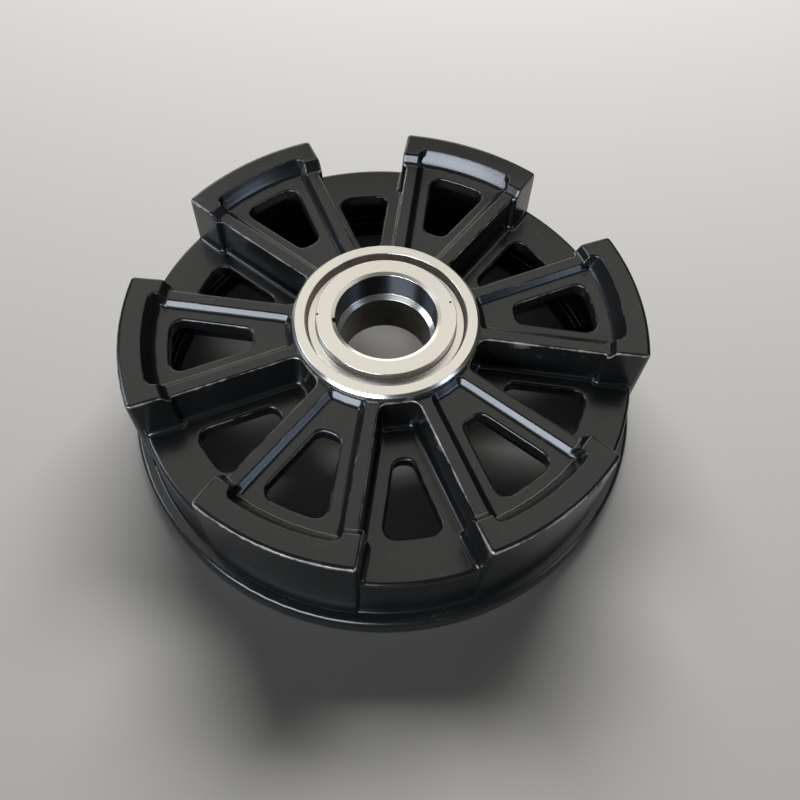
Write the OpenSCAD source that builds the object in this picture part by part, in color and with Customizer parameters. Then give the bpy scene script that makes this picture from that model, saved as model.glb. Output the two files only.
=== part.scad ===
// Crane sprocket: a cast chain wheel with six raised lugs and a turned steel hub.
// Sizes are in millimetres. The wheel lies on its flange with the axis along Z,
// the origin is in the middle of the bottom face and one lug is centred on +X.

/* [Drum] */
// Radius of the lugs' outer faces
rim_radius = 232; // [228:1:250]
// How far the lug faces stand out past the drum wall at the low web
lug_proud = 4; // [3.5:0.5:7]
// How much wider the drum wall is at the flange than at the low web
drum_flare = 3; // [0.5:0.5:3.5]
// Thickness of the drum wall just above the flange
drum_wall = 12; // [8:0.5:15]
// How far the bottom flange stands out past the drum wall
flange_reach = 12; // [7:0.5:18]
// Height of the bottom flange
flange_height = 23.5; // [16:0.5:30]
// Rounding of the upper outer edge of the flange
flange_edge = 5; // [1:0.5:5.5]
// How far the flange stands in past the inner face of the drum wall
lip_reach = 8; // [2:0.5:14]
// Height of the inner lip of the flange
lip_height = 22; // [8:1:30]

/* [Levels] */
// Height of the low web's top face above the ground
low_web_height = 85; // [72:1:97]
// Height of the lug rims above the low web
lug_height = 47; // [40:1:60]
// How far the rib tops lie below the lug rims
rib_drop = 9; // [4:0.5:14]
// Depth of the lug pockets below the rib tops
pocket_depth = 6; // [2:0.5:10]
// Thickness of the web in the pockets and between the lugs
web_thickness = 14; // [8:0.5:18]
// Rounding of the low web's outer edge
low_edge = 4; // [2:0.5:8]

/* [Lugs] */
// Number of lugs
lug_count = 6; // [5:1:6]
// Width of each radial rib
rib_width = 12; // [8:0.5:14]
// Width of the raised rim band along the outside of a lug
band_width = 21; // [16:0.5:26]
// Rounding of the outer top edge of the rim band
band_edge = 2.5; // [0.5:0.5:4]
// Radius of the foot of the step from the rim band down to the ribs
step_radius = 195.5; // [186:0.5:200]
// Slope of that step, as the distance its top edge lies further out
step_slope = 9; // [2:0.5:12]
// How far a lug end stands out past the rib side at the step
overhang_step = 4.5; // [1:0.5:8]
// How far a lug end stands out past the rib side at the rim
overhang_rim = 3.6; // [1:0.2:8]
// Corner radius of the lug pocket beside the rim band
pocket_corner = 7; // [3:0.5:10]
// Slope of the rim band's inner wall, as the distance its foot lies further in
pocket_slope = 8; // [0.5:0.5:10]
// Wall left under the rim band around the hollow of a lug
lug_wall = 18; // [12:0.5:22]

/* [Windows] */
// Web left between a rib and the window in a lug pocket
lug_window_land = 15; // [10:0.5:16.5]
// Web left between a rib and the window in the low web
low_window_land = 17; // [12:0.5:17.5]
// Radius of the outer edge of the windows in the lugs
lug_window_outer = 191; // [170:1:194]
// Radius of the outer edge of the windows in the low web
low_window_outer = 188.5; // [170:0.5:194]
// Distance from the axis to the windows' inner edge
window_inner = 118.5; // [114:0.5:128]
// Corner radius at the outer end of a window
window_outer_corner = 10; // [4:0.5:12]
// Corner radius at the inner end of a window
window_inner_corner = 8.5; // [4:0.5:9]

/* [Hub] */
// Radius of the cast boss around the hub
boss_radius = 84; // [83.5:0.5:92]
// Radius of the hub collar
collar_radius = 83; // [81.5:0.5:85.5]
// Radius of the hub body below the collar
hub_radius = 76; // [73:0.5:79]
// Radial gap between the hub body and the casting
hub_fit = 0.1; // [0.05:0.05:0.3]
// Length of the hub body below the collar
hub_depth = 63; // [50:1:70]
// Height of the collar above the rib tops
collar_height = 8; // [5:0.5:11]
// Chamfer of the collar's outer edge
collar_chamfer = 2.5; // [0.5:0.5:4]
// Radius of the collar's inner edge at the top
collar_inner = 71.6; // [69:0.2:75]
// Slope of the collar's inner wall, as the distance its foot lies further in
collar_slope = 2; // [0.5:0.5:4]
// Depth of the ring groove below the collar top
groove_depth = 8.5; // [4:0.5:12]
// Radius of the bore ring inside the groove
ring_radius = 62; // [58:0.5:65]
// How far the bore ring stands above the collar top
ring_rise = 2; // [0.5:0.5:5]
// Radius of the bore
bore_radius = 45; // [41:0.5:48]
// Radial width of the bore chamfer
bore_chamfer = 3.5; // [1:0.5:5]
// Depth of the bore chamfer
bore_chamfer_depth = 1.5; // [0.5:0.5:4]
// Depth of the bore below the bore ring, down to its shoulder
bore_depth = 28; // [18:1:40]
// How far the shoulder stands into the bore
shoulder_width = 4.6; // [1:0.2:6]
// Height of the sloping shoulder
shoulder_height = 3.5; // [2:0.5:10]
// Radius of the notch in the edge of the bore
notch_radius = 3; // [1:0.25:4]
// Depth of the notch below the bore ring
notch_depth = 7; // [3:0.5:12]
// Angle of the notch around the axis
notch_angle = 180; // [0:1:360]

/* [Hidden] */
$fn = 96;
// How far a shape runs past the face that it cuts through or joins
pass = 5;
// How far the straight-sided pocket cut runs out past the sloping wall's top edge
corner_pass = 1;
// Straight pieces in each rounded corner of an outline
corner_steps = 8;
// Straight pieces in each rounded edge of a turned profile
edge_steps = 4;
// Angle between the centre line of a lug and that of its ribs
half_pitch = 90 / lug_count;
rim_top = low_web_height + lug_height;
rib_top = rim_top - rib_drop;
pocket_floor = rib_top - pocket_depth;
low_underside = low_web_height - web_thickness;
drum_top_radius = rim_radius - lug_proud;
flange_ledge_radius = drum_top_radius + drum_flare;
flange_radius = flange_ledge_radius + flange_reach;
drum_inner = flange_ledge_radius - drum_wall;
pocket_rim = rim_radius - band_width;
rib_half = rib_width / 2;
collar_top = rib_top + collar_height;
hub_bottom = rib_top - hub_depth;
ring_top = collar_top + ring_rise;
groove_floor = collar_top - groove_depth;
shoulder_top = ring_top - bore_depth;
low_bore_radius = bore_radius - shoulder_width;

// Points on a circle arc around a centre, from angle a to angle b
function arc(centre, radius, a, b, steps) =
    [for (i = [0 : steps])
        let (t = a + (b - a) * i / steps)
        centre + radius * [cos(t), sin(t)]];

// A point given along a rib's centre line and square to it, turned to the lug's frame
function from_rib(along, across) =
    [along * cos(half_pitch) - across * sin(half_pitch),
     along * sin(half_pitch) + across * cos(half_pitch)];

// The same points on the other side of the lug's centre line, in reverse order
function mirrored(points) =
    [for (i = [len(points) - 1 : -1 : 0]) [points[i].x, -points[i].y]];

// Centre of the corner between an outline's side and its outer arc
function outer_corner_centre(margin, outer, corner) =
    from_rib(sqrt(pow(outer - corner, 2) - pow(margin + corner, 2)), -margin - corner);

// Outer corner and half of the outer arc, from the side to the centre line
function outer_half(margin, outer, corner) =
    let (centre = outer_corner_centre(margin, outer, corner),
         heading = atan2(centre.y, centre.x))
    concat(arc(centre, corner, half_pitch + 90, heading, corner_steps),
           arc([0, 0], outer, heading, 0, corner_steps));

// Inner corner of a window, from its inner edge to its side
function inner_half(margin, inner, corner) =
    let (reach = margin + corner,
         along = (inner + corner - reach * sin(half_pitch)) / cos(half_pitch))
    arc(from_rib(along, -reach), corner, 180, half_pitch + 90, corner_steps);

// Points of a closed outline from its half above the centre line
function whole(half) =
    concat(half, mirrored([for (i = [0 : len(half) - 2]) half[i]]));

module window_outline(land, outer) {
    margin = rib_half + land;
    polygon(whole(concat(
        inner_half(margin, window_inner, window_inner_corner),
        outer_half(margin, outer, window_outer_corner))));
}

// The space between two ribs, closed by an arc outside and by the boss inside
module bay_outline(outer, corner) {
    difference() {
        polygon(whole(concat(
            [[0, 0]],
            outer_half(rib_half, outer, corner))));
        circle(boss_radius);
    }
}

// The space between two lugs, open at the rim
module gap_outline() {
    outside = flange_radius + 2 * pass;
    // The lug end's line, carried past the rim
    slope = (overhang_rim - overhang_step) / (rim_radius - step_radius);
    overhang_outside = overhang_rim + slope * (outside - rim_radius);
    half = [
        [0, 0],
        from_rib(step_radius, -rib_half),
        from_rib(step_radius, -rib_half - overhang_step),
        from_rib(outside, -rib_half - overhang_outside)];
    difference() {
        polygon(concat(half, mirrored([half[1], half[2], half[3]])));
        circle(boss_radius);
    }
}

module around(offset_angle) {
    for (i = [0 : lug_count - 1])
        rotate([0, 0, i * 360 / lug_count + offset_angle])
            children();
}

// Turned drum with its flange, closed by the low web
module drum_body() {
    rotate_extrude($fn = 180)
        polygon(concat(
            [[0, 0], [flange_radius, 0]],
            arc([flange_radius - flange_edge, flange_height - flange_edge],
                flange_edge, 0, 90, edge_steps),
            [[flange_ledge_radius, flange_height]],
            arc([drum_top_radius - low_edge, low_web_height - low_edge],
                low_edge, 0, 90, edge_steps),
            [[0, low_web_height]]));
}

// Boss, ribs and lugs as one turned block, cut away between the lugs; the lug faces run down to the flange
module lug_blocks() {
    difference() {
        rotate_extrude($fn = 180)
            polygon(concat(
                [[0, flange_height - pass], [rim_radius, flange_height - pass]],
                arc([rim_radius - band_edge, rim_top - band_edge],
                    band_edge, 0, 90, edge_steps),
                [[step_radius + step_slope, rim_top],
                 [step_radius, rib_top],
                 [0, rib_top]]));
        around(2 * half_pitch)
            linear_extrude(rim_top + pass)
                gap_outline();
    }
}

// Hollow of the drum below the low web, with the space under the boss
module drum_hollow() {
    rotate_extrude($fn = 180)
        polygon([
            [0, -pass],
            [drum_inner - lip_reach, -pass],
            [drum_inner - lip_reach, lip_height],
            [drum_inner, lip_height],
            [drum_inner, low_underside],
            [boss_radius, low_underside],
            [boss_radius, hub_bottom],
            [0, hub_bottom]]);
}

// Through hole in the boss that the hub sits in
module hub_seat() {
    cylinder(r = hub_radius + hub_fit, h = rib_top + pass, $fn = 180);
}

// Straight-sided pockets between the ribs, bounded by the sloping inner wall of the rim band
module lug_pockets() {
    rise = rim_top - pocket_floor;
    intersection() {
        around(0)
            translate([0, 0, pocket_floor])
                linear_extrude(rise + pass)
                    bay_outline(pocket_rim + corner_pass, pocket_corner);
        rotate_extrude($fn = 180)
            polygon([
                [0, pocket_floor],
                [pocket_rim - pocket_slope, pocket_floor],
                [pocket_rim + pocket_slope * pass / rise, rim_top + pass],
                [0, rim_top + pass]]);
    }
}

module lug_hollows() {
    around(0)
        translate([0, 0, low_underside - pass])
            linear_extrude(pocket_floor - web_thickness - low_underside + pass)
                bay_outline(rim_radius - lug_wall, pocket_corner);
}

module windows() {
    around(0)
        linear_extrude(rim_top)
            window_outline(lug_window_land, lug_window_outer);
    around(2 * half_pitch)
        linear_extrude(rim_top)
            window_outline(low_window_land, low_window_outer);
}

// One-piece casting: drum, flange, low web, ribs, lugs and boss
module wheel_casting() {
    color("#2c2e2f")
        difference() {
            union() {
                drum_body();
                lug_blocks();
            }
            drum_hollow();
            hub_seat();
            lug_pockets();
            lug_hollows();
            windows();
        }
}

// Turned steel hub, seated in the boss with its collar on the rib tops
module hub_sleeve() {
    color("#c9c7c0")
        difference() {
            rotate_extrude()
                polygon([
                    [low_bore_radius, hub_bottom],
                    [hub_radius, hub_bottom],
                    [hub_radius, rib_top],
                    [collar_radius, rib_top],
                    [collar_radius, collar_top - collar_chamfer],
                    [collar_radius - collar_chamfer, collar_top],
                    [collar_inner, collar_top],
                    [collar_inner - collar_slope, groove_floor],
                    [ring_radius, groove_floor],
                    [ring_radius, ring_top],
                    [bore_radius + bore_chamfer, ring_top],
                    [bore_radius, ring_top - bore_chamfer_depth],
                    [bore_radius, shoulder_top],
                    [low_bore_radius, shoulder_top - shoulder_height]]);
            rotate([0, 0, notch_angle])
                translate([bore_radius, 0, ring_top - notch_depth])
                    cylinder(r = notch_radius, h = notch_depth + pass, $fn = 48);
        }
}

wheel_casting();
hub_sleeve();
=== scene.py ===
# %% [markdown]
# # A crane sprocket
# A crane sprocket is the toothed wheel that drives a crane's chain or track. This one is a heavy steel
# casting with six raised lugs, sprayed black, and a bright turned hub with a stepped bore. It lies on its
# flange. The solids come first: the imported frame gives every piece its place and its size.
# Lengths are written in millimetres, as on a workshop drawing, and become metres when a mesh is made.

# %% Load the frame
import math

import bmesh
import bpy
import numpy as np
from mathutils import Matrix, Vector
from mathutils.geometry import delaunay_2d_cdt


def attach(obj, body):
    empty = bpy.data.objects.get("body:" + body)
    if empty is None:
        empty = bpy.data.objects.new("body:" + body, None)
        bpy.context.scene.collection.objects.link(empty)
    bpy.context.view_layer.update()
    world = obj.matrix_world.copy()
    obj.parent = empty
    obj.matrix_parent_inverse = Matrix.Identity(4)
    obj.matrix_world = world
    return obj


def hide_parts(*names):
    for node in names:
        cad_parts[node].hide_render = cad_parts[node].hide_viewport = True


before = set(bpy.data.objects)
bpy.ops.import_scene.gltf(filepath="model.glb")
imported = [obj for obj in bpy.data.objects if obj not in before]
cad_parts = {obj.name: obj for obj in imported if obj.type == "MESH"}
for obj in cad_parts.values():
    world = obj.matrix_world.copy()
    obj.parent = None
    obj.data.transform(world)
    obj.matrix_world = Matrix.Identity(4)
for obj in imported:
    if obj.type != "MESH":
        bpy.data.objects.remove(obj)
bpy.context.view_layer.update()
MM = 0.001
print("nodes", sorted(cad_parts))

# %% [markdown]
# ## The plan of the casting
# A casting has no sharp inside corner: sand moulds need rounded edges, filleted feet and walls that lean a
# little, so that the pattern pulls out. Bevelling a boolean result leaves poor corners here, because the
# walls change height along their length. Seen from above, though, every point of the wheel has one height.
# So the outlines are drawn in plan once and repeated at small offsets where a wall curves. The plan is then
# cut into triangles that keep all those lines, and each point is lifted to its height.
# The wheel mirrors itself every thirty degrees, so half of one lug and half of one gap are enough.

# %% Radii of the casting, the same as in the solids
LUGS = 6
LUG_PROUD = 4.0
DRUM_FLARE = 3.0
FLANGE_REACH = 12.0
DRUM_WALL = 12.0
LIP_REACH = 8.0
BAND_WIDTH = 21.0
LUG_WALL = 18.0
HUB_FIT = 0.1
RIM = 232.0
DRUM_TOP = RIM - LUG_PROUD
LEDGE = DRUM_TOP + DRUM_FLARE
FLANGE = LEDGE + FLANGE_REACH
DRUM_INNER = LEDGE - DRUM_WALL
LIP_INNER = DRUM_INNER - LIP_REACH
POCKET_RIM = RIM - BAND_WIDTH
HOLLOW_RIM = RIM - LUG_WALL
STEP = 195.5
RIB_HALF = 6.0
BOSS = 84.0
HUB = 76.0
SEAT = HUB + HUB_FIT
print("radii of rim, flange, pocket and seat", RIM, FLANGE, POCKET_RIM, SEAT)

# %% Heights of the casting, the same as in the solids
LUG_HEIGHT = 47.0
RIB_DROP = 9.0
POCKET_DEPTH = 6.0
WEB_THICKNESS = 14.0
HUB_DEPTH = 63.0
FLANGE_TOP = 23.5
LIP_TOP = 22.0
LOW_WEB = 85.0
RIM_TOP = LOW_WEB + LUG_HEIGHT
RIB_TOP = RIM_TOP - RIB_DROP
POCKET_FLOOR = RIB_TOP - POCKET_DEPTH
LUG_CEILING = POCKET_FLOOR - WEB_THICKNESS
LOW_UNDERSIDE = LOW_WEB - WEB_THICKNESS
BOSS_BOTTOM = RIB_TOP - HUB_DEPTH
print("heights of rim, rib, pocket and low web", RIM_TOP, RIB_TOP, POCKET_FLOOR, LOW_WEB)

# %% One twelfth of the wheel
HALF_PITCH = math.radians(90 / LUGS)
SECTOR = 2 * HALF_PITCH
ARC_STEPS = 16
GRID = np.linspace(0, SECTOR, ARC_STEPS + 1)
GAP_LINE = np.array([math.cos(SECTOR), math.sin(SECTOR)])
ALONG_RIB = np.array([math.cos(HALF_PITCH), math.sin(HALF_PITCH)])
ACROSS_RIB = np.array([-math.sin(HALF_PITCH), math.cos(HALF_PITCH)])


def rib_point(along, across):
    return along * ALONG_RIB + across * ACROSS_RIB


print("one twelfth, in", ARC_STEPS, "steps of", round(math.degrees(GRID[1]), 3), "degrees")
print("a point on the rib at the step", rib_point(STEP, RIB_HALF).round(1))

# %% Arcs and paths in plan
LONGEST_RUN = 9.0
SAME_TURN = 1e-3
SAME_PLACE = 1e-6


def heading(vector):
    return math.atan2(vector[1], vector[0])


def arc(centre, radius, start, stop, steps):
    turns = np.linspace(start, stop, steps + 1)
    return np.asarray(centre) + radius * np.stack([np.cos(turns), np.sin(turns)], axis=1)


def ring(radius, start=0.0, stop=SECTOR):
    inner = GRID[(GRID > start + SAME_TURN) & (GRID < stop - SAME_TURN)]
    turns = np.concatenate([[start], inner, [stop]])
    return radius * np.stack([np.cos(turns), np.sin(turns)], axis=1)


def joined(pieces):
    points = [np.asarray(pieces[0][0], float)]
    for stop in np.vstack(pieces):
        start = points[-1]
        run = np.linalg.norm(stop - start)
        if run < SAME_PLACE:
            continue
        count = max(1, int(math.ceil(run / LONGEST_RUN)))
        points.extend(start + (stop - start) * (i + 1) / count for i in range(count))
    return np.array(points)


print("a ring at the rim has", len(ring(RIM)), "points")

# %% [markdown]
# A wall that curves needs lines beside its outline. Each point of a path moves to its left by the same
# distance, measured square to the path. The two ends lie on the sides of the twelfth, and they slide along
# those sides so that the mirrored copies still meet.

# %% Lines beside a path
def offset(path, distance):
    run = np.diff(path, axis=0)
    run /= np.linalg.norm(run, axis=1)[:, None]
    before = np.vstack([run[:1], run])
    after = np.vstack([run, run[-1:]])
    left = np.stack([-(before + after)[:, 1], (before + after)[:, 0]], axis=1)
    left /= np.linalg.norm(left, axis=1)[:, None]
    cosine = np.sum(left * np.stack([-after[:, 1], after[:, 0]], axis=1), axis=1)
    distance = np.broadcast_to(distance, len(path))
    moved = path + left * (distance / cosine)[:, None]
    for end in (0, -1):
        outward = path[end] / np.linalg.norm(path[end])
        moved[end] = path[end] + outward * distance[end] * np.sign(left[end] @ outward)
    return moved


moved_rim = offset(ring(RIM), 1.0)
print("the rim moved by 1 mm has a radius of", np.linalg.norm(moved_rim, axis=1).mean().round(2))

# %% [markdown]
# The lug block is the outline that stands up from the low web: around the boss, out along a rib, a small
# jog at the step, along the lug's end and around the rim. The pocket, the windows and the hollow under the
# lug are drawn the same way. Corners are arcs that touch the lines on both sides.

# %% Outline of the lug block
OVERHANG_STEP = 4.5
OVERHANG_RIM = 3.6
BOSS_CORNER = 9.0
JOG_FILLET = 2.0
JOG_EDGE = 2.3
LUG_CORNER = 4.0


def boss_corner(side, corner):
    reach = RIB_HALF + corner
    return rib_point(math.sqrt((BOSS + corner) ** 2 - reach ** 2), side * reach)


def rim_corner(radius, margin, corner):
    reach = margin + corner
    return rib_point(math.sqrt((radius - corner) ** 2 - reach ** 2), -reach)


square_to_rib = heading(ACROSS_RIB)
low_corner = boss_corner(1, BOSS_CORNER)
lug_corner = rim_corner(RIM, -RIB_HALF - OVERHANG_RIM, LUG_CORNER)
jog_foot = rib_point(STEP - JOG_FILLET, RIB_HALF + JOG_FILLET)
jog_top = rib_point(STEP + JOG_EDGE, RIB_HALF + OVERHANG_STEP - JOG_EDGE)
gap_side = joined([
    ring(BOSS, heading(low_corner), SECTOR)[::-1],
    arc(low_corner, BOSS_CORNER, heading(-low_corner), square_to_rib - math.pi, 8),
    arc(jog_foot, JOG_FILLET, square_to_rib - math.pi, square_to_rib - math.pi / 2, 5),
    arc(jog_top, JOG_EDGE, square_to_rib + math.pi / 2, square_to_rib, 5),
    arc(lug_corner, LUG_CORNER, square_to_rib, heading(lug_corner), 6),
])
rim_side = ring(RIM, 0.0, heading(lug_corner))[::-1]
block_path = joined([gap_side, rim_side])
print("lug block of", len(block_path), "points")

# %% Outlines of the pocket and the hollow under it
POCKET_CORNER = 7.0
pocket_inner = boss_corner(-1, POCKET_CORNER)


def between_ribs(outer_edge):
    outer = rim_corner(outer_edge, RIB_HALF, POCKET_CORNER)
    return joined([
        ring(BOSS, 0.0, heading(pocket_inner)),
        arc(pocket_inner, POCKET_CORNER, heading(-pocket_inner) + 2 * math.pi, square_to_rib, 6),
        arc(outer, POCKET_CORNER, square_to_rib, heading(outer), 8),
        ring(outer_edge, 0.0, heading(outer))[::-1],
    ])


pocket_path = between_ribs(POCKET_RIM)
hollow_path = between_ribs(HOLLOW_RIM)
print("pocket of", len(pocket_path), "points, hollow of", len(hollow_path), "points")

# %% Outlines of the windows
LUG_WINDOW_OUTER = 191.0
LOW_WINDOW_OUTER = 188.5
WINDOW_INNER = 118.5
WINDOW_OUTER_CORNER = 10.0
WINDOW_INNER_CORNER = 8.5
LUG_WINDOW_LAND = 15.0
LOW_WINDOW_LAND = 17.0


def window_path(land, outer_edge):
    margin = RIB_HALF + land
    reach = margin + WINDOW_INNER_CORNER
    along = (WINDOW_INNER + WINDOW_INNER_CORNER - reach * math.sin(HALF_PITCH)) / math.cos(HALF_PITCH)
    inner = rib_point(along, -reach)
    outer = rim_corner(outer_edge, margin, WINDOW_OUTER_CORNER)
    return joined([
        [(WINDOW_INNER, 0.0)],
        arc(inner, WINDOW_INNER_CORNER, math.pi, square_to_rib, 8),
        arc(outer, WINDOW_OUTER_CORNER, square_to_rib, heading(outer), 8),
        ring(outer_edge, 0.0, heading(outer))[::-1],
    ])


lug_window = window_path(LUG_WINDOW_LAND, LUG_WINDOW_OUTER)
to_gap = np.array([GAP_LINE, (GAP_LINE[1], -GAP_LINE[0])])
low_window = window_path(LOW_WINDOW_LAND, LOW_WINDOW_OUTER) @ to_gap.T
print("window outlines of", len(lug_window), "and", len(low_window), "points")

# %% [markdown]
# ## Heights
# A wall runs from a high face to a low one. Its edge is rounded, its face leans outwards and its foot is a
# fillet. How far a point lies outside the outline says where on that profile it is. The same profile makes
# the sides of the lugs, the shallow pockets and, upside down, the hollows under the lugs.
# The face and the foot take most of the drop, and the edge's rounding takes the rest.

# %% Wall profile
FACE_SHARE = 0.9
SMALLEST_SINE = 0.01
EDGE_TURNS = np.radians([0, 25, 50, 72, 90])
FOOT_TURNS = np.radians([90, 75, 60, 45, 30, 15, 0])


def wall(distance, high, low, edge, lean, fillet, fade=1.0):
    drop = FACE_SHARE * (high - low)
    tangent_height = drop * fillet / (2 * lean + fillet)
    foot_height = np.minimum(fillet, tangent_height) * fade
    slope = np.arctan2(drop - foot_height, lean)
    edge_radius = edge / np.maximum(np.sin(slope), SMALLEST_SINE)
    edge_height = edge * np.tan(slope / 2)
    over_edge = np.clip(edge + distance, 0, edge) / edge_radius
    top = high - edge_radius * (1 - np.sqrt(1 - over_edge ** 2))
    to_foot = np.clip(1 - (distance - lean) / fillet, 0, 1)
    bend = np.where(tangent_height < fillet, to_foot ** 2, 1 - np.sqrt(1 - to_foot ** 2))
    share = np.clip(distance / lean, 0, 1)
    face = (high - edge_height) * (1 - share) + (low + foot_height) * share
    return np.where(distance < 0, top, np.where(distance < lean, face, low + foot_height * bend))


def wall_offsets(edge, lean, fillet):
    over_the_edge = [edge * (s - 1) for s in np.sin(EDGE_TURNS)]
    down_to_the_foot = [lean + fillet * (1 - s) for s in np.sin(FOOT_TURNS)]
    return over_the_edge + down_to_the_foot


print("offsets of a wall", np.round(wall_offsets(2, 1.4, 5.5), 2))

# %% Distances in plan
def nearest_on(path, points):
    nearest = np.full(len(points), np.inf)
    radius = np.zeros(len(points))
    for start, stop in zip(path[:-1], path[1:]):
        run = stop - start
        share = np.clip(((points - start) @ run) / (run @ run), 0, 1)
        foot = start + share[:, None] * run
        away = np.linalg.norm(points - foot, axis=1)
        closer = away < nearest
        nearest[closer] = away[closer]
        radius[closer] = np.linalg.norm(foot[closer], axis=1)
    return nearest, radius


def distance_to(path, points):
    return nearest_on(path, points)[0]


def inside(outline, points):
    crossings = np.zeros(len(points), int)
    x, y = points[:, 0], points[:, 1]
    for (ax, ay), (bx, by) in zip(outline, np.roll(outline, -1, axis=0)):
        spans = (ay > y) != (by > y)
        if ay != by:
            crossings += spans & (x < ax + (bx - ax) * (y - ay) / (by - ay))
    return crossings % 2 == 1


def beyond(path, closing, points):
    outline = np.vstack([path, closing])
    return np.where(inside(outline, points), -1, 1) * distance_to(path, points)


middle_of_rib = np.array([rib_point(150, 0)])
print("from the middle of a rib to its pocket", distance_to(pocket_path, middle_of_rib).round(2))

# %% [markdown]
# Some walls run around the axis, so they are profiles of radius and height, as on a lathe: the sloping step
# from a rib up to the lug's rim, the drum with its flange, and the underside of the low web.

# %% Turned profiles
STEP_TILT = 58
STEP_FOOT_RADIUS = 5.5
STEP_HEAD_RADIUS = 4.5
STEP_FOOT = 194.4
STEP_HEAD = 205.6
LOW_EDGE = 4.0
LEDGE_FILLET = 2.5
FLANGE_EDGE = 4.5
BOSS_EDGE = 2.0
BOSS_FILLET = 6.0
DRUM_FILLET = 4.0


def rounded(centre, radius, start, stop, steps):
    return arc(centre, radius, math.radians(start), math.radians(stop), steps)


step_profile = np.vstack([
    rounded((STEP_FOOT, RIB_TOP + STEP_FOOT_RADIUS), STEP_FOOT_RADIUS, 270, 270 + STEP_TILT, 6),
    rounded((STEP_HEAD, RIM_TOP - STEP_HEAD_RADIUS), STEP_HEAD_RADIUS, 90 + STEP_TILT, 90, 6),
])
drum_profile = np.vstack([
    rounded((DRUM_TOP - LOW_EDGE, LOW_WEB - LOW_EDGE), LOW_EDGE, 90, 0, 6),
    rounded((LEDGE + LEDGE_FILLET, FLANGE_TOP + LEDGE_FILLET), LEDGE_FILLET, 180, 270, 4),
    rounded((FLANGE - FLANGE_EDGE, FLANGE_TOP - FLANGE_EDGE), FLANGE_EDGE, 85, 0, 6),
])
under_profile = np.vstack([
    rounded((BOSS - BOSS_EDGE, BOSS_BOTTOM + BOSS_EDGE), BOSS_EDGE, 270, 360, 3),
    rounded((BOSS + BOSS_FILLET, LOW_UNDERSIDE - BOSS_FILLET), BOSS_FILLET, 180, 90, 5),
    rounded((DRUM_INNER - DRUM_FILLET, LOW_UNDERSIDE - DRUM_FILLET), DRUM_FILLET, 90, 0, 5),
])
print("step", len(step_profile), "drum", len(drum_profile), "underside", len(under_profile), "points")

# %% [markdown]
# The top is the lug block's wall with the pocket sunk into it. The pocket's sides along the ribs are short
# and lean a little, and the band under the rim is higher and leans more, so they are two walls and the
# higher one counts. The lug's edge is sharper beside the rib than along the rim. Every window's edge is
# rounded on the top and on the underside.

# %% Edges of the windows and the lugs
WINDOW_EDGE = 3.0
RIB_EDGE = 2.4
RIM_EDGE = 3.6
RIM_EDGE_FROM = RIM - 6.0


def to_windows(points):
    return np.minimum(distance_to(lug_window, points), distance_to(low_window, points))


def window_round(points):
    share = np.clip(1 - to_windows(points) / WINDOW_EDGE, 0, 1)
    return WINDOW_EDGE * (1 - np.sqrt(1 - share ** 2))


def lug_edge(radius):
    return np.interp(radius, [STEP, RIM_EDGE_FROM], [RIB_EDGE, RIM_EDGE])


print("the lug's edge at the step and at the rim", lug_edge(STEP), lug_edge(RIM))

# %% Height of the top
# A wall is given by the widths of its edge, its leaning face and its foot.
LUG_LEAN = 1.4
LUG_FILLET = 5.5
FOOT_FADE = 8.0
POCKET_WALL = (2.0, 2.2, 4.6)
BAND_WALL = (3.2, 4.6, 7.4)
origin = np.zeros((1, 2))


def top_height(points):
    radius = np.linalg.norm(points, axis=1)
    high = np.interp(radius, step_profile[:, 0], step_profile[:, 1])
    low = np.interp(radius, drum_profile[:, 0], drum_profile[:, 1])
    fade = np.clip((DRUM_TOP - radius) / FOOT_FADE, 0, 1)
    block = beyond(block_path, origin, points)
    edge = lug_edge(nearest_on(block_path, points)[1])
    height = wall(block, high, low, edge, LUG_LEAN, LUG_FILLET, fade)
    pocket = -beyond(pocket_path, pocket_path[:1], points)
    side = wall(pocket, height, POCKET_FLOOR, *POCKET_WALL)
    band = wall(POCKET_RIM - radius, height, POCKET_FLOOR, *BAND_WALL)
    return np.minimum(height, np.maximum(side, band)) - window_round(points)


test_points = np.array([rib_point(150, 0), rib_point(220, 0), (150, 0), (205, 0)])
print("heights on the rib, the rim, the pocket and its band", top_height(test_points).round(2))

# %% Height of the underside
HOLLOW_WALL = (2.0, 1.2, 5.0)


def under_height(points):
    radius = np.linalg.norm(points, axis=1)
    low = np.interp(radius, under_profile[:, 0], under_profile[:, 1])
    hollow = -beyond(hollow_path, hollow_path[:1], points)
    return window_round(points) - wall(hollow, -low, -LUG_CEILING, *HOLLOW_WALL)


print("underside at the same points", under_height(test_points).round(2))

# %% [markdown]
# ## The casting
# The plan is cut into triangles along all those lines and lifted. The window walls, the seat of the hub
# and the turned drum close it. Twelve mirrored copies are then welded into one skin.

# %% Triangles of one twelfth
MERGE = 1e-4
SNAP = 0.01
SLIVER = 1e-4


def triangles(paths, keep):
    points = []
    edges = []
    for path in paths:
        first = len(points)
        points.extend(Vector(p) for p in path)
        edges.extend((first + i, first + i + 1) for i in range(len(path) - 1))
    plan, _, faces, *_ = delaunay_2d_cdt(points, edges, [], 0, MERGE)
    plan = np.array([p[:] for p in plan])
    on_gap_line = np.abs(plan @ np.array([-GAP_LINE[1], GAP_LINE[0]])) < SNAP
    plan[on_gap_line] = np.outer(plan[on_gap_line] @ GAP_LINE, GAP_LINE)
    plan[np.abs(plan[:, 1]) < SNAP, 1] = 0.0
    faces = np.array(faces)
    a, b, c = (plan[faces[:, i]] for i in range(3))
    area = np.abs(np.cross(b - a, c - a)) / 2
    return plan, faces[keep((a + b + c) / 3) & (area > SLIVER)]


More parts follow.
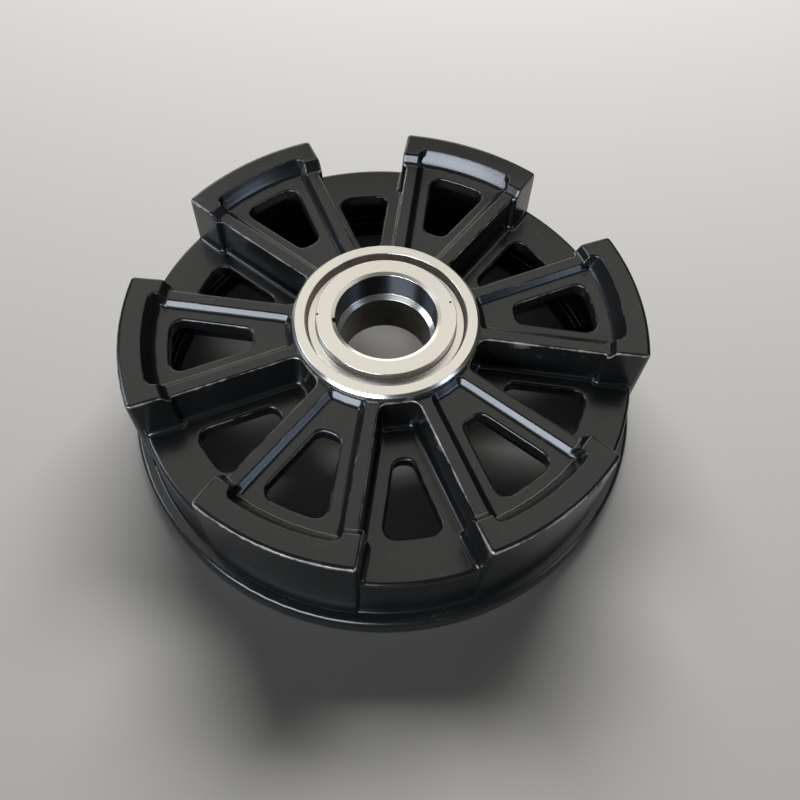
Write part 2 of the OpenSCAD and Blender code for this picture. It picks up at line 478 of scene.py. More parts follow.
def in_sector(points, inner, outer):
    radius = np.linalg.norm(points, axis=1)
    turn = np.arctan2(points[:, 1], points[:, 0])
    edge = radius * np.cos((turn % GRID[1]) - GRID[1] / 2) / math.cos(GRID[1] / 2)
    in_window = inside(lug_window, points) | inside(low_window, points)
    return (turn > 0) & (turn < SECTOR) & (edge > inner) & (edge < outer) & ~in_window


def side_lines(inner, outer):
    return [np.array([[inner, 0.0], [outer, 0.0]]), np.array([inner * GAP_LINE, outer * GAP_LINE])]


print("the middle of a rib is in the plan:", bool(in_sector(middle_of_rib, SEAT, FLANGE)[0]))

# %% Lines of the top
# The rim falls straight to the drum, so only the side towards the gap has lines for a foot.
STEP_INSIDE = math.radians(2.6)
STEP_OUTSIDE = math.radians(3.6)
LINES_TO_FACE = len(EDGE_TURNS) + 1
window_offsets = WINDOW_EDGE * (1 - np.sin(np.radians([90, 60, 40, 20, 0])))
window_lines = [offset(lug_window, s) for s in window_offsets]
window_lines += [offset(low_window, -s) for s in window_offsets]
lug_offsets = wall_offsets(lug_edge(np.linalg.norm(block_path, axis=1)), LUG_LEAN, LUG_FILLET)
top_lines = [offset(block_path, s) for s in lug_offsets[:LINES_TO_FACE]]
top_lines += [offset(gap_side, s) for s in lug_offsets[LINES_TO_FACE:]]
top_lines += [offset(pocket_path, -s) for s in wall_offsets(*POCKET_WALL)]
for inward in wall_offsets(*BAND_WALL):
    band_radius = POCKET_RIM - inward
    top_lines.append(ring(band_radius, 0.0, HALF_PITCH - math.asin(RIB_HALF / band_radius)))
top_lines += [ring(r, HALF_PITCH - STEP_INSIDE, HALF_PITCH + STEP_OUTSIDE) for r in step_profile[:, 0]]
top_lines += [ring(r) for r in drum_profile[:, 0]]
top_lines += [ring(SEAT)] + window_lines + side_lines(SEAT, FLANGE)
top_plan, top_faces = triangles(top_lines, lambda p: in_sector(p, SEAT, FLANGE))
print("top of", len(top_faces), "triangles in one twelfth")

# %% Lines of the underside
under_lines = [offset(hollow_path, -s) for s in wall_offsets(*HOLLOW_WALL)]
under_lines += [ring(r) for r in under_profile[:, 0]]
under_lines += [ring(SEAT)] + window_lines + side_lines(SEAT, DRUM_INNER)
under_plan, under_faces = triangles(under_lines, lambda p: in_sector(p, SEAT, DRUM_INNER))
print("underside of", len(under_faces), "triangles in one twelfth")

# %% Turned skin of the drum
FLANGE_CORNER = 1.2
LIP_EDGE = 2.0
LIP_FILLET = 3.0
CORNER_MIDDLE = 0.3
corner_middle = CORNER_MIDDLE * FLANGE_CORNER
lip_edge_middle = CORNER_MIDDLE * LIP_EDGE
lip_fillet_middle = CORNER_MIDDLE * LIP_FILLET
lathe_profile = [
    (FLANGE, FLANGE_TOP - FLANGE_EDGE),
    (FLANGE, FLANGE_CORNER),
    (FLANGE - corner_middle, corner_middle),
    (FLANGE - FLANGE_CORNER, 0.0),
    (LIP_INNER + FLANGE_CORNER, 0.0),
    (LIP_INNER + corner_middle, corner_middle),
    (LIP_INNER, FLANGE_CORNER),
    (LIP_INNER, LIP_TOP - LIP_EDGE),
    (LIP_INNER + lip_edge_middle, LIP_TOP - lip_edge_middle),
    (LIP_INNER + LIP_EDGE, LIP_TOP),
    (DRUM_INNER - LIP_FILLET, LIP_TOP),
    (DRUM_INNER - lip_fillet_middle, LIP_TOP + lip_fillet_middle),
    (DRUM_INNER, LIP_TOP + LIP_FILLET),
    (DRUM_INNER, LOW_UNDERSIDE - DRUM_FILLET),
]
print("drum profile of", len(lathe_profile), "points")

# %% Skin of one twelfth
skin_points = []
skin_faces = []


def add_skin(points, faces):
    first = len(skin_points)
    skin_points.extend(points)
    skin_faces.extend(tuple(first + i for i in face) for face in faces)


def add_strip(lines):
    rows, length = len(lines), len(lines[0])
    faces = [(r * length + c, r * length + c + 1, (r + 1) * length + c + 1, (r + 1) * length + c)
             for r in range(rows - 1) for c in range(length - 1)]
    add_skin(np.vstack(lines), faces)


def at_height(plan, height):
    return np.column_stack([plan, np.broadcast_to(height, len(plan))])


add_skin(at_height(top_plan, top_height(top_plan)), top_faces)
add_skin(at_height(under_plan, under_height(under_plan)), under_faces)
for window in (lug_window, low_window):
    add_strip([at_height(window, top_height(window)), at_height(window, under_height(window))])
add_strip([at_height(ring(r), z) for r, z in lathe_profile])
add_strip([at_height(ring(SEAT), RIB_TOP), at_height(ring(SEAT), BOSS_BOTTOM)])
twelfth = np.array(skin_points)
print("one twelfth has", len(twelfth), "points and", len(skin_faces), "faces")

# %% [markdown]
# Paint rubs off first where an edge stands proud: along the lugs and ribs, and a little less at the
# pockets, the low rim and the windows. A texture alone cannot know where the edges are, so each point keeps
# how close it lies to one, as a value that the paint reads later. Each line of wear has a strength, a place
# beside its edge and a width.

# %% Wear lines
LUG_WEAR = (1.0, -0.7, 0.8)
POCKET_WEAR = (0.6, -0.4, 0.7)
LOW_RIM_WEAR = (0.6, -1.5, 2.0)
WINDOW_WEAR = (0.8, 0.6, 0.6)
WEAR_HEIGHT = 3.0
LUG_FOOT = LOW_WEB + 12.0


def wear_line(distance, wear):
    strength, place, width = wear
    return strength * np.exp(-((distance - place) / width) ** 2)


def edge_nearness(points):
    plan, height = points[:, :2], points[:, 2]
    block = beyond(block_path, origin, plan)
    pocket = -beyond(pocket_path, pocket_path[:1], plan)
    low_rim = np.linalg.norm(plan, axis=1) - DRUM_TOP
    at_low_rim = np.abs(height - (LOW_WEB - LOW_EDGE / 2)) < WEAR_HEIGHT
    at_webs = np.minimum(np.abs(height - POCKET_FLOOR), np.abs(height - LOW_WEB)) < WEAR_HEIGHT
    return np.maximum.reduce([
        wear_line(block, LUG_WEAR) * (height > LUG_FOOT),
        wear_line(pocket, POCKET_WEAR) * (height > RIB_TOP - WEAR_HEIGHT),
        wear_line(low_rim, LOW_RIM_WEAR) * at_low_rim,
        wear_line(to_windows(plan), WINDOW_WEAR) * at_webs,
    ])


wear_twelfth = edge_nearness(twelfth)
print("points on rubbed edges", int((wear_twelfth > 0.5).sum()))

# %% Twelve copies in one mesh
def mirrored_copies():
    for turn in range(LUGS):
        spin = np.array(Matrix.Rotation(turn * 2 * SECTOR, 3, "Z"))
        for flip in (1.0, -1.0):
            yield (twelfth * (1.0, flip, 1.0)) @ spin.T


copies = list(mirrored_copies())
all_faces = []
for number in range(len(copies)):
    first = number * len(twelfth)
    for face in skin_faces:
        moved = tuple(first + i for i in face)
        all_faces.append(moved if number % 2 == 0 else moved[::-1])
casting_mesh = bpy.data.meshes.new("wheel_skin")
casting_mesh.from_pydata((np.vstack(copies) * MM).tolist(), [], all_faces)
rubbed_values = casting_mesh.attributes.new("rubbed", "FLOAT", "POINT").data
rubbed_values.foreach_set("value", np.tile(wear_twelfth, len(copies)))
print("copies", len(copies), "with", len(all_faces), "faces in all")

# %% Weld the casting
# Weighted normals keep the large faces flat to the eye and leave the bending to the small ones.
WELD = 0.02
TINY_EDGE = 0.002
FLAT_FACE_WEIGHT = 80
build = bmesh.new()
build.from_mesh(casting_mesh)
bmesh.ops.remove_doubles(build, verts=build.verts, dist=WELD * MM)
bmesh.ops.dissolve_degenerate(build, edges=build.edges, dist=TINY_EDGE * MM)
bmesh.ops.recalc_face_normals(build, faces=build.faces)
open_edges = sum(1 for edge in build.edges if len(edge.link_faces) != 2)
build.to_mesh(casting_mesh)
build.free()
casting_mesh.shade_smooth()
casting = bpy.data.objects.new("wheel_skin", casting_mesh)
bpy.context.scene.collection.objects.link(casting)
casting.modifiers.new("flat_faces", "WEIGHTED_NORMAL").weight = FLAT_FACE_WEIGHT
print("casting", len(casting_mesh.vertices), "points", len(casting_mesh.polygons), "faces")
print("open edges", open_edges)

# %% [markdown]
# ## The hub
# The hub is turned on a lathe, so it is one profile spun around the axis: a collar with a chamfer, a ring
# groove, a raised ring around the bore, and a bore that narrows at a sloping shoulder. A lathe tool breaks
# each edge a little, and those small roundings are what catch the light. Each corner of the profile has a
# radius and a height, and the size of its rounding.

# %% Sizes of the hub, the same as in the solids
COLLAR = 83.0
COLLAR_CHAMFER = 2.5
COLLAR_INNER = 71.6
COLLAR_SLOPE = 2.0
RING = 62.0
BORE = 45.0
BORE_CHAMFER = 3.5
BORE_CHAMFER_DEPTH = 1.5
SHOULDER_WIDTH = 4.6
SHOULDER_HEIGHT = 3.5
COLLAR_HEIGHT = 8.0
RING_RISE = 2.0
GROOVE_DEPTH = 8.5
BORE_DEPTH = 28.0
LOW_BORE = BORE - SHOULDER_WIDTH
COLLAR_TOP = RIB_TOP + COLLAR_HEIGHT
RING_TOP = COLLAR_TOP + RING_RISE
GROOVE_FLOOR = COLLAR_TOP - GROOVE_DEPTH
SHOULDER = RING_TOP - BORE_DEPTH
hub_corners = [
    (LOW_BORE, BOSS_BOTTOM, 1.0),
    (HUB, BOSS_BOTTOM, 1.0),
    (HUB, RIB_TOP, 0.0),
    (COLLAR, RIB_TOP, 0.0),
    (COLLAR, COLLAR_TOP - COLLAR_CHAMFER, 0.8),
    (COLLAR - COLLAR_CHAMFER, COLLAR_TOP, 0.8),
    (COLLAR_INNER, COLLAR_TOP, 0.7),
    (COLLAR_INNER - COLLAR_SLOPE, GROOVE_FLOOR, 1.6),
    (RING, GROOVE_FLOOR, 1.2),
    (RING, RING_TOP, 0.7),
    (BORE + BORE_CHAMFER, RING_TOP, 0.8),
    (BORE, RING_TOP - BORE_CHAMFER_DEPTH, 0.6),
    (BORE, SHOULDER, 0.5),
    (LOW_BORE, SHOULDER - SHOULDER_HEIGHT, 0.8),
]
print("hub of", len(hub_corners), "corners,", RING_TOP - BOSS_BOTTOM, "mm high")

# %% Rounded hub profile
CORNER_STEPS = 4


def soft_corner(before, corner, after, radius):
    if radius == 0:
        return [corner]
    to_before = (before - corner) / np.linalg.norm(before - corner)
    to_after = (after - corner) / np.linalg.norm(after - corner)
    half = math.acos(np.clip(to_before @ to_after, -1, 1)) / 2
    middle = (to_before + to_after) / np.linalg.norm(to_before + to_after)
    centre = corner + middle * radius / math.sin(half)
    start = corner + to_before * radius / math.tan(half) - centre
    stop = corner + to_after * radius / math.tan(half) - centre
    turn = (heading(stop) - heading(start) + math.pi) % (2 * math.pi) - math.pi
    return list(arc(centre, radius, heading(start), heading(start) + turn, CORNER_STEPS))


corner_points = [np.array(corner[:2]) for corner in hub_corners]
hub_profile = []
for i, corner in enumerate(corner_points):
    following = corner_points[(i + 1) % len(corner_points)]
    hub_profile += soft_corner(corner_points[i - 1], corner, following, hub_corners[i][2])
print("hub profile of", len(hub_profile), "points")

# %% Spin the hub
HUB_STEPS = 240


def spun(profile, steps):
    turns = np.linspace(0, 2 * math.pi, steps, endpoint=False)
    points = [(r * math.cos(t), r * math.sin(t), z) for t in turns for r, z in profile]
    count = len(profile)
    faces = []
    for i in range(steps):
        here = i * count
        there = (i + 1) % steps * count
        for j in range(count):
            k = (j + 1) % count
            faces.append((here + j, there + j, there + k, here + k))
    return points, faces


hub_points, hub_faces = spun(hub_profile, HUB_STEPS)
hub_mesh = bpy.data.meshes.new("turned_hub")
hub_mesh.from_pydata((np.array(hub_points) * MM).tolist(), [], hub_faces)
build = bmesh.new()
build.from_mesh(hub_mesh)
bmesh.ops.recalc_face_normals(build, faces=build.faces)
build.to_mesh(hub_mesh)
build.free()
hub = bpy.data.objects.new("turned_hub", hub_mesh)
bpy.context.scene.collection.objects.link(hub)
print("hub of", len(hub_mesh.polygons), "faces before the cuts")

# %% [markdown]
# A half-round notch is cut into the edge of the bore, and two small punch marks sit on the ring. They do
# not follow the axis, so a boolean takes them out of the spun hub, with one cutter for all three. Each cut
# has a place, a radius and a depth.

# %% Cut the notch and the punch marks
NOTCH_RADIUS = 3.0
NOTCH_DEPTH = 7.0
PUNCH_RADIUS = 1.1
PUNCH_DEPTH = 2.0
SHARP_FROM = math.radians(50)
CUTS = [
    (-BORE, 0.0, NOTCH_RADIUS, NOTCH_DEPTH),
    (-60.0, 7.5, PUNCH_RADIUS, PUNCH_DEPTH),
    (58.2, 7.5, PUNCH_RADIUS, PUNCH_DEPTH),
]
cutter_mesh = bpy.data.meshes.new("notch_cutter")
build = bmesh.new()
for x, y, radius, depth in CUTS:
    place = Matrix.Translation(Vector((x, y, RING_TOP)) * MM)
    bmesh.ops.create_cone(build, cap_ends=True, segments=32, radius1=radius * MM, radius2=radius * MM,
                          depth=2 * depth * MM, matrix=place)
build.to_mesh(cutter_mesh)
build.free()
cutter = bpy.data.objects.new("notch_cutter", cutter_mesh)
bpy.context.scene.collection.objects.link(cutter)
notch = hub.modifiers.new("notch", "BOOLEAN")
notch.object = cutter
bpy.context.view_layer.update()
hub_cut = bpy.data.meshes.new_from_object(hub.evaluated_get(bpy.context.evaluated_depsgraph_get()))
hub.modifiers.remove(notch)
hub.data = hub_cut
bpy.data.objects.remove(cutter)
hub_cut.shade_smooth()
hub_cut.set_sharp_from_angle(angle=SHARP_FROM)
hub.modifiers.new("flat_faces", "WEIGHTED_NORMAL").keep_sharp = True
print("hub", len(hub_cut.vertices), "points", len(hub_cut.polygons), "faces")

# %% [markdown]
# ## Finishes
# Every colour is written as a hex value, the way a paint card gives it, and one function turns it into the
# linear numbers that light works with. One small function adds a node with its settings and its links.
# A number as a setting's name picks an input by its place, because a mixing node repeats its names.

# %% Finish helpers
def linear(hex_colour):
    srgb = [int(hex_colour[i:i + 2], 16) / 255 for i in (1, 3, 5)]
    return tuple(v / 12.92 if v <= 0.04045 else ((v + 0.055) / 1.055) ** 2.4 for v in srgb) + (1.0,)


def add_node(tree, kind, settings=(), links=()):
    made = tree.nodes.new(kind)
    for name, value in dict(settings).items():
        if isinstance(name, int) or name in made.inputs:
            made.inputs[name].default_value = value
        else:
            setattr(made, name, value)
    for name, source in dict(links).items():
        tree.links.new(source, made.inputs[name])
    return made


def new_finish(name):
    finish = bpy.data.materials.new(name)
    finish.use_nodes = True
    finish.node_tree.nodes.clear()
    return finish, finish.node_tree


print("middle grey in linear light", round(linear("#808080")[0], 4))

# %% [markdown]
# The casting is sprayed with one coat of black alkyd enamel over shot-blasted cast steel. Such enamel has an
# index of about 1.5 and a roughness near 0.3; here it is a little glossier. To the eye it is a dark grey that
# takes the tone of whatever is above it, with a soft broad gloss, because the pebbled skin of the casting
# under the paint spreads every reflection. The colour drifts a little every few centimetres.

# %% Tone of the black enamel
MOTTLE = 35.0
paint, tree = new_finish("black_enamel_on_cast_steel")
place = add_node(tree, "ShaderNodeTexCoord").outputs["Object"]
mottle = add_node(tree, "ShaderNodeTexNoise", {"Scale": 1 / (MOTTLE * MM), "Detail": 4.0},
                  {"Vector": place}).outputs["Fac"]
tone = add_node(tree, "ShaderNodeMix",
                {"data_type": "RGBA", 6: linear("#0b0c0c"), 7: linear("#131414")}, {0: mottle})
print("paint tone in linear light", round(linear("#0b0c0c")[0], 4), "to", round(linear("#131414")[0], 4))

# %% [markdown]
# Along the edges the paint is worn to bright steel in chips a few millimetres long, more in some patches
# than in others. On the faces there are pale dusty scuffs. Both are noise that is cut off at a level, and
# the chips are also multiplied by the closeness to an edge that each point keeps.

# %% Chips and scuffs
CHIP = 8.4
SCUFF = 14.0
PATCH_SHARE = 0.6
BARE_METAL = 0.5
rubbed = add_node(tree, "ShaderNodeAttribute", {"attribute_name": "rubbed"})
chips = add_node(tree, "ShaderNodeTexNoise", {"Scale": 1 / (CHIP * MM), "Detail": 6.0, "Roughness": 0.7},
                 {"Vector": place})
rubbed_chips = add_node(tree, "ShaderNodeMath", {"operation": "MULTIPLY"},
                        {0: rubbed.outputs["Fac"], 1: chips.outputs["Fac"]})
in_patches = add_node(tree, "ShaderNodeMath", {"operation": "MULTIPLY_ADD", 1: PATCH_SHARE},
                      {0: mottle, 2: rubbed_chips.outputs[0]})
bare = add_node(tree, "ShaderNodeMapRange", {"From Min": 0.62, "From Max": 1.0},
                {"Value": in_patches.outputs[0]}).outputs[0]
scuffs = add_node(tree, "ShaderNodeTexNoise",
                  {"Scale": 1 / (SCUFF * MM), "Detail": 8.0, "Roughness": 0.72, "Distortion": 0.8},
                  {"Vector": place})
scuffed = add_node(tree, "ShaderNodeMapRange", {"From Min": 0.60, "From Max": 0.78, "To Max": 0.5},
                   {"Value": scuffs.outputs["Fac"]})
dusty = add_node(tree, "ShaderNodeMix", {"data_type": "RGBA", 7: linear("#4c4a46")},
                 {0: scuffed.outputs[0], 6: tone.outputs[2]})
worn = add_node(tree, "ShaderNodeMix", {"data_type": "RGBA", 7: linear("#b3aba1")},
                {0: bare, 6: dusty.outputs[2]})
metal = add_node(tree, "ShaderNodeMath", {"operation": "MULTIPLY", 1: BARE_METAL}, {0: bare})
print("chips of", CHIP, "mm and scuffs of", SCUFF, "mm")

# %% Skin and gloss of the enamel
# The grain of a sand-cast skin is well under a millimetre. It is drawn coarser here so that it shows.
PEBBLE = 2.2
PEBBLE_HEIGHT = 0.25
pebble = add_node(tree, "ShaderNodeTexNoise", {"Scale": 1 / (PEBBLE * MM), "Detail": 2.0}, {"Vector": place})
skin = add_node(tree, "ShaderNodeBump", {"Strength": 0.12, "Distance": PEBBLE_HEIGHT * MM},
                {"Height": pebble.outputs["Fac"]})
gloss = add_node(tree, "ShaderNodeMapRange", {"To Min": 0.20, "To Max": 0.27}, {"Value": mottle})
enamel = add_node(tree, "ShaderNodeBsdfPrincipled", {"IOR": 1.5},
                  {"Base Color": worn.outputs[2], "Metallic": metal.outputs[0],
                   "Roughness": gloss.outputs[0], "Normal": skin.outputs[0]})
add_node(tree, "ShaderNodeOutputMaterial", links={"Surface": enamel.outputs[0]})
casting_mesh.materials.append(paint)
print("paint nodes", len(tree.nodes))

# %% [markdown]
# The hub is bare carbon steel, faced and turned on a lathe. The tool leaves fine rings around the axis, so
# the metal looks pale and silky rather than mirror bright, and its highlights stretch across the rings.
# One-dimensional noise over the distance from the axis draws the rings. Turned steel has a roughness near
# 0.3, and the anisotropy turns with the rings.

# %% Turned carbon steel
# A finishing cut leaves rings about 0.2 mm apart. They are drawn coarser here so that they show.
TURNING_PITCH = 0.9
TURNING_HEIGHT = 0.02
steel, tree = new_finish("turned_carbon_steel")
place = add_node(tree, "ShaderNodeTexCoord").outputs["Object"]
flat_place = add_node(tree, "ShaderNodeVectorMath", {"operation": "MULTIPLY", 1: (1.0, 1.0, 0.0)}, {0: place})
from_axis = add_node(tree, "ShaderNodeVectorMath", {"operation": "LENGTH"}, {0: flat_place.outputs[0]})
rings = add_node(tree, "ShaderNodeTexNoise",
                 {"noise_dimensions": "1D", "Scale": 1 / (TURNING_PITCH * MM), "Detail": 3.0},
                 {"W": from_axis.outputs["Value"]}).outputs["Fac"]
grain = add_node(tree, "ShaderNodeBump", {"Strength": 0.10, "Distance": TURNING_HEIGHT * MM},
                 {"Height": rings})
sheen = add_node(tree, "ShaderNodeMapRange", {"To Min": 0.22, "To Max": 0.32}, {"Value": rings})
around = add_node(tree, "ShaderNodeTangent", {"direction_type": "RADIAL", "axis": "Z"})
turned = add_node(tree, "ShaderNodeBsdfPrincipled",
                  {"Base Color": linear("#d9d6cf"), "Metallic": 1.0,
                   "Anisotropic": 0.5, "Anisotropic Rotation": 0.25},
                  {"Roughness": sheen.outputs[0], "Normal": grain.outputs[0], "Tangent": around.outputs[0]})
add_node(tree, "ShaderNodeOutputMaterial", links={"Surface": turned.outputs[0]})
print("turned steel nodes", len(tree.nodes))

# %% [markdown]
# The upper bore is honed: abrasive stones turn inside it and leave a dense, even surface. Its dark grey
# base colour is painted shade for the deep bore, so to the eye it is a dark mirror that pulls every
# reflection into a streak along the bore. Full anisotropy gives the streaks, and noise that is squeezed flat
# gives the faint marks around the bore.

# %% Honed bore steel
# Honing marks are much finer than this pitch. They are drawn coarser here so that they show.
HONING_PITCH = 0.9
HONING_STRETCH = 0.04
bore_steel, tree = new_finish("honed_bore_steel")
place = add_node(tree, "ShaderNodeTexCoord").outputs["Object"]
squeezed = add_node(tree, "ShaderNodeVectorMath",
                    {"operation": "MULTIPLY", 1: (HONING_STRETCH, HONING_STRETCH, 1.0)}, {0: place})
honing = add_node(tree, "ShaderNodeTexNoise", {"Scale": 1 / (HONING_PITCH * MM), "Detail": 3.0},
                  {"Vector": squeezed.outputs[0]}).outputs["Fac"]
# The two dark greys are painted shade for the deep bore, and the noise between them draws the honing marks.
honed_tone_and_shade = add_node(tree, "ShaderNodeMix",
                      {"data_type": "RGBA", 6: linear("#55575b"), 7: linear("#6a6c70")}, {0: honing})
honed_sheen = add_node(tree, "ShaderNodeMapRange", {"To Min": 0.32, "To Max": 0.40}, {"Value": honing})
around = add_node(tree, "ShaderNodeTangent", {"direction_type": "RADIAL", "axis": "Z"})
honed = add_node(tree, "ShaderNodeBsdfPrincipled",
                 {"Metallic": 1.0, "Anisotropic": 1.0, "Anisotropic Rotation": 0.25},
                 {"Base Color": honed_tone_and_shade.outputs[2], "Roughness": honed_sheen.outputs[0],
                  "Tangent": around.outputs[0]})
add_node(tree, "ShaderNodeOutputMaterial", links={"Surface": honed.outputs[0]})
print("honed bore nodes", len(tree.nodes))

# %% [markdown]
# The lower bore, the outer side of the groove and the cuts were left as the tool made them, so this steel is
# rougher and has no rings. They lie in recesses, and their dull grey-brown with soft smears is painted shade,
# so this steel is also darker than the turned faces.

# %% Steel with painted shade
SMEAR = 12.0
shaded_steel, tree = new_finish("shaded_recess_steel")
place = add_node(tree, "ShaderNodeTexCoord").outputs["Object"]
smear = add_node(tree, "ShaderNodeTexNoise", {"Scale": 1 / (SMEAR * MM), "Detail": 3.0}, {"Vector": place})
# The dark grey-brown and its smears are painted shade for the recesses.
shade_tone = add_node(tree, "ShaderNodeMix",
                     {"data_type": "RGBA", 6: linear("#5b5852"), 7: linear("#918d84")},
                     {0: smear.outputs["Fac"]})
shaded_bsdf = add_node(tree, "ShaderNodeBsdfPrincipled", {"Metallic": 1.0, "Roughness": 0.4},
                 {"Base Color": shade_tone.outputs[2]})
add_node(tree, "ShaderNodeOutputMaterial", links={"Surface": shaded_bsdf.outputs[0]})
print("painted-shade steel nodes", len(tree.nodes))

# %% [markdown]
# The three steels meet at edges of the turned profile, so the place of a face and its steepness say
# which one it has. Walls are told from flats by how far their normals lie from the axis.

# %% Share the three steels out over the hub
TURNED, HONED, SHADED = range(3)
STEEP = 0.7
WALL_SLACK = 0.3
CUT_SLACK = 1.02
EDGE_SLACK = 0.1
GROOVE_SIDE = (COLLAR_INNER - COLLAR_SLOPE - 0.6, COLLAR_INNER - 0.2)
GROOVE_SIDE_TOP = COLLAR_TOP - 0.8
HONED_TOP = RING_TOP - BORE_CHAMFER_DEPTH - 0.2
SHADED_TOP = SHOULDER - SHOULDER_HEIGHT - 0.5


def in_cut(middle, x, y, radius, depth):
    beside = math.hypot(middle.x - x, middle.y - y)
    below = RING_TOP - middle.z
    return beside < CUT_SLACK * radius and EDGE_SLACK < below < depth + EDGE_SLACK


# The steel with painted shade goes to the cuts, the lower bore and the outer side of the groove.
def hub_finish(face):
    middle = face.center / MM
    radius = math.hypot(middle.x, middle.y)
    if any(in_cut(middle, *cut) for cut in CUTS):
        return SHADED
    if abs(face.normal.z) >= STEEP:
        return TURNED
    if radius < LOW_BORE + WALL_SLACK and middle.z < SHADED_TOP:
        return SHADED
    if GROOVE_SIDE[0] < radius < GROOVE_SIDE[1] and middle.z < GROOVE_SIDE_TOP:
        return SHADED
    if radius < BORE + WALL_SLACK and SHOULDER < middle.z < HONED_TOP:
        return HONED
    return TURNED


hub_cut.materials.clear()
for finish in (steel, bore_steel, shaded_steel):
    hub_cut.materials.append(finish)
for face in hub_cut.polygons:
    face.material_index = hub_finish(face)
print("faces by finish", np.bincount([face.material_index for face in hub_cut.polygons]))

# %% [markdown]
# ## Camera
# The wheel was seen from about sixty degrees above the floor with a moderately wide lens, and the camera
# was rolled a little. Matching the lug corners and the hub rings to the picture gave the numbers below.
# The rim centre's place in the picture fixes where the camera stands once its distance is known.

# %% Camera
PICTURE = 800
SENSOR = 36.0
FOCAL_PIXELS = 782.7
ELEVATION = math.radians(59.79)
ROLL = math.radians(3.62)
WHEEL_TURN = math.radians(-10.83)
RIM_CENTRE_PIXEL = (386.4, 315.4)
RIM_CENTRE_DEPTH = 687.01

forward = Vector((0, math.cos(ELEVATION), -math.sin(ELEVATION)))
level_up = Vector((0, math.sin(ELEVATION), math.cos(ELEVATION)))
level_right = Vector((1, 0, 0))
right = math.cos(ROLL) * level_right + math.sin(ROLL) * level_up
up = -math.sin(ROLL) * level_right + math.cos(ROLL) * level_up
sideways = (RIM_CENTRE_PIXEL[0] - PICTURE / 2) / FOCAL_PIXELS
downwards = (RIM_CENTRE_PIXEL[1] - PICTURE / 2) / FOCAL_PIXELS
to_rim = (forward + right * sideways - up * downwards) * RIM_CENTRE_DEPTH * MM
axes = Matrix((right, up, -forward)).transposed().to_4x4()
stand = Matrix.Translation(Vector((0, 0, RIM_TOP * MM)) - to_rim)

camera_data = bpy.data.cameras.new("camera")
camera_data.sensor_width = SENSOR
camera_data.lens = FOCAL_PIXELS * SENSOR / PICTURE
camera = bpy.data.objects.new("camera", camera_data)
camera.matrix_world = Matrix.Rotation(WHEEL_TURN, 4, "Z") @ stand @ axes
bpy.context.scene.collection.objects.link(camera)
bpy.context.scene.camera = camera
print("camera at, mm", [round(v / MM) for v in camera.location], "lens", round(camera_data.lens, 2))

# %% [markdown]
# ## Floor and light
# The wheel lies on a plain pale floor in a dim studio. The floor is board rolled with matt emulsion, which
# scatters light evenly and shows no reflection of its own, so one pale colour and a high roughness will do.

# %% Floor
FLOOR_HALF = 6.0
floor_mesh = bpy.data.meshes.new("floor")
floor_mesh.from_pydata([(-FLOOR_HALF, -FLOOR_HALF, 0), (FLOOR_HALF, -FLOOR_HALF, 0),
                        (FLOOR_HALF, FLOOR_HALF, 0), (-FLOOR_HALF, FLOOR_HALF, 0)], [], [(0, 1, 2, 3)])
floor = bpy.data.objects.new("floor", floor_mesh)
bpy.context.scene.collection.objects.link(floor)
emulsion, tree = new_finish("matt_emulsion_on_board")
matt = add_node(tree, "ShaderNodeBsdfPrincipled", {"Base Color": linear("#eceae6"), "Roughness": 0.9})
add_node(tree, "ShaderNodeOutputMaterial", links={"Surface": matt.outputs[0]})
floor_mesh.materials.append(emulsion)
print("floor", 2 * FLOOR_HALF, "m wide")

# %% [markdown]
# Black paint shows almost nothing but reflections, so the size and place of each soft lamp decide how the
# shape reads. The flat tops mirror the panel above and behind. The walls and rounded edges that face the
# front mirror the wide front lamp, and the weaker ones at the sides and the back draw the rest. Together
# they light the wheel at a plain level, at which a middle grey would render about as it is written.
# The floor has a lamp of its own, so that its paleness puts no more lamp light on the wheel. Light linking
# keeps the two apart, and the floor still takes the wheel's shadow from its own lamp.

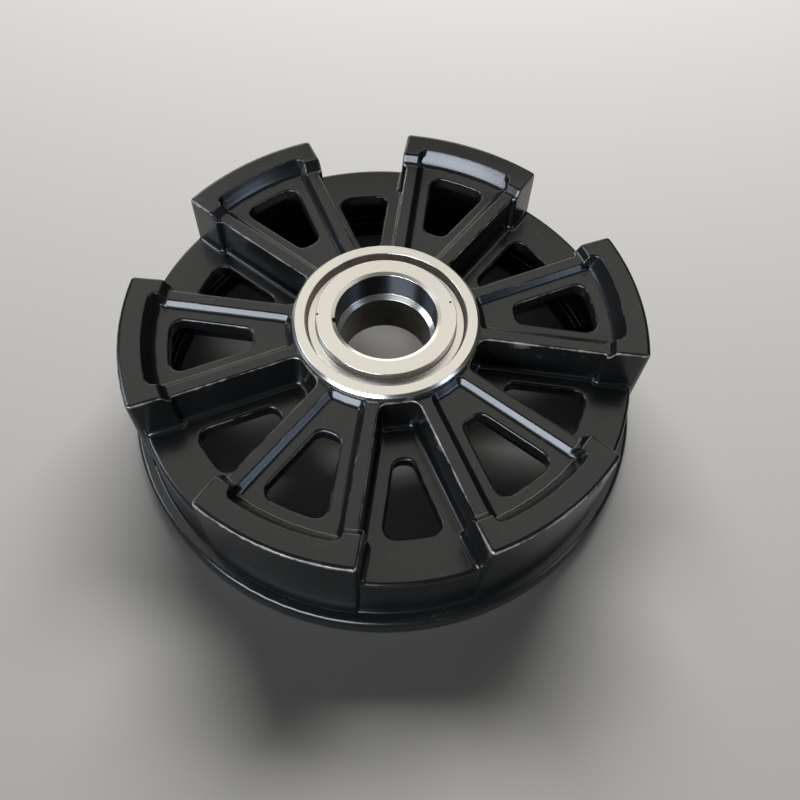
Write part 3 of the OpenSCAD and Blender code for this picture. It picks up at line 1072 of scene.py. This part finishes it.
# %% Lamps around the wheel
# Each lamp has a name, its side and elevation in degrees, its distance, width and height in metres, its
# brightness and its colour. A side of zero is the camera's side.
WHEEL_LAMPS = [
    ("sky_panel", 180, 63, 2.0, (3.0, 1.7), 0.8, "#fffdf5"),
    ("back_glow", -165, 18, 2.2, (2.2, 0.9), 2.0, "#fffaf4"),
    ("front_window", -27, 25, 2.2, (1.8, 0.85), 11.0, "#e9f2ff"),
    ("left_window", -95, 34, 2.0, (0.8, 0.8), 5.5, "#dfecff"),
    ("right_window", 68, 26, 2.2, (0.6, 0.7), 3.5, "#cfe2ff"),
]
FLOOR_LAMPS = [("floor_lamp", 180, 42, 2.6, (2.6, 1.0), 6.5, "#ffffff")]
print("lamps for the wheel", len(WHEEL_LAMPS), "and for the floor", len(FLOOR_LAMPS))

# %% Hang the lamps
def soft_lamp(name, side, elevation, distance, size, radiance, colour):
    side, elevation = math.radians(side), math.radians(elevation)
    towards = Vector((math.sin(side) * math.cos(elevation), -math.cos(side) * math.cos(elevation),
                      math.sin(elevation)))
    towards.rotate(Matrix.Rotation(WHEEL_TURN, 3, "Z"))
    data = bpy.data.lights.new(name, "AREA")
    data.shape = "RECTANGLE"
    data.size, data.size_y = size
    data.energy = 4 * size[0] * size[1] * radiance
    data.color = linear(colour)[:3]
    lamp = bpy.data.objects.new(name, data)
    lamp.location = Vector((0, 0, RIM_TOP * MM)) + towards * distance
    lamp.rotation_euler = towards.to_track_quat("Z", "Y").to_euler()
    bpy.context.scene.collection.objects.link(lamp)
    return lamp


def light_only(group, pieces, lamps):
    lit = bpy.data.collections.new(group)
    for piece in pieces:
        lit.objects.link(piece)
    for lamp in lamps:
        soft_lamp(*lamp).light_linking.receiver_collection = lit


light_only("lit_as_the_wheel", (casting, hub), WHEEL_LAMPS)
light_only("lit_as_the_floor", (floor,), FLOOR_LAMPS)

# %% Dim room
ROOM_BRIGHTNESS = 0.06
world = bpy.data.worlds.new("studio")
bpy.context.scene.world = world
world.use_nodes = True
tree = world.node_tree
tree.nodes.clear()
room = add_node(tree, "ShaderNodeBackground", {"Color": linear("#ffffff"), "Strength": ROOM_BRIGHTNESS})
add_node(tree, "ShaderNodeOutputWorld", links={"Surface": room.outputs[0]})
bpy.context.scene.view_settings.view_transform = "Standard"
print("room brightness", ROOM_BRIGHTNESS)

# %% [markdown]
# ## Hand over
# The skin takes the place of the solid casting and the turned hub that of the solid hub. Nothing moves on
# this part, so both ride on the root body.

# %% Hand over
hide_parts("wheel_casting")
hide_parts("hub_sleeve")
for piece, slot in ((casting, "black_paint"), (hub, "turned_steel")):
    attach(piece, "root")
